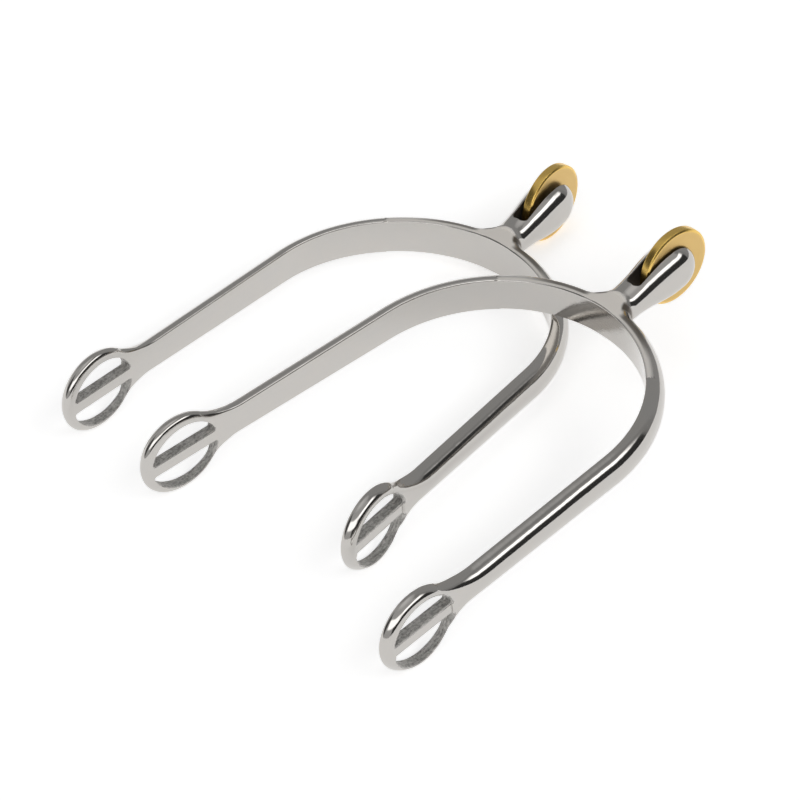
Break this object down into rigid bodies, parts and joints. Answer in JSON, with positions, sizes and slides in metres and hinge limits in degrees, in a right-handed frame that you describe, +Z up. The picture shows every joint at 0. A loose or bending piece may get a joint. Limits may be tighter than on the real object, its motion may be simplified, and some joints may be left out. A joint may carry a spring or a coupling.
{
  "type": "pair of riding spurs",
  "caption": "Steel riding spurs with flat-sided heel bands, oval strap loops with a centre bar, and a smooth brass disc that rolls in a fork behind the heel.",
  "frame": {"origin": "on the surface the pair lies on, under the middle of the pair's box", "axes": "+X points back along the lower spur's neck, from its loops to its disc; +Y is across it, towards its free side; +Z is up"},
  "size_m": [0.1734, 0.1323, 0.0354],
  "materials": {
    "polished_stainless": "polished, with as-cast slot walls",
    "brass": "satin faces with a polished rim",
    "rivet_steel": "ground flush and polished"
  },
  "bodies": {
    "lower_spur": {"lower_yoke": "polished_stainless", "lower_rivet": "rivet_steel"},
    "lower_disc": {"lower_rowel": "brass"},
    "upper_spur": {"upper_yoke": "polished_stainless", "upper_rivet": "rivet_steel"},
    "upper_disc": {"upper_rowel": "brass"}
  },
  "joints": [
    {"name": "lower_rowel_spin", "type": "hinge", "parent": "lower_spur", "child": "lower_disc", "pos_m": [0.076, 0.01918, 0.01072], "axis": [0, 1, 0], "continuous": true},
    {"name": "upper_spur_lift", "type": "slide", "parent": "lower_spur", "child": "upper_spur", "axis": [0, 0, 1], "range_m": [0, 0.06]},
    {"name": "upper_rowel_spin", "type": "hinge", "parent": "upper_spur", "child": "upper_disc", "pos_m": [0.05994, -0.03214, 0.02473], "axis": [0.1513, 0.9885, 0], "continuous": true}
  ]
}
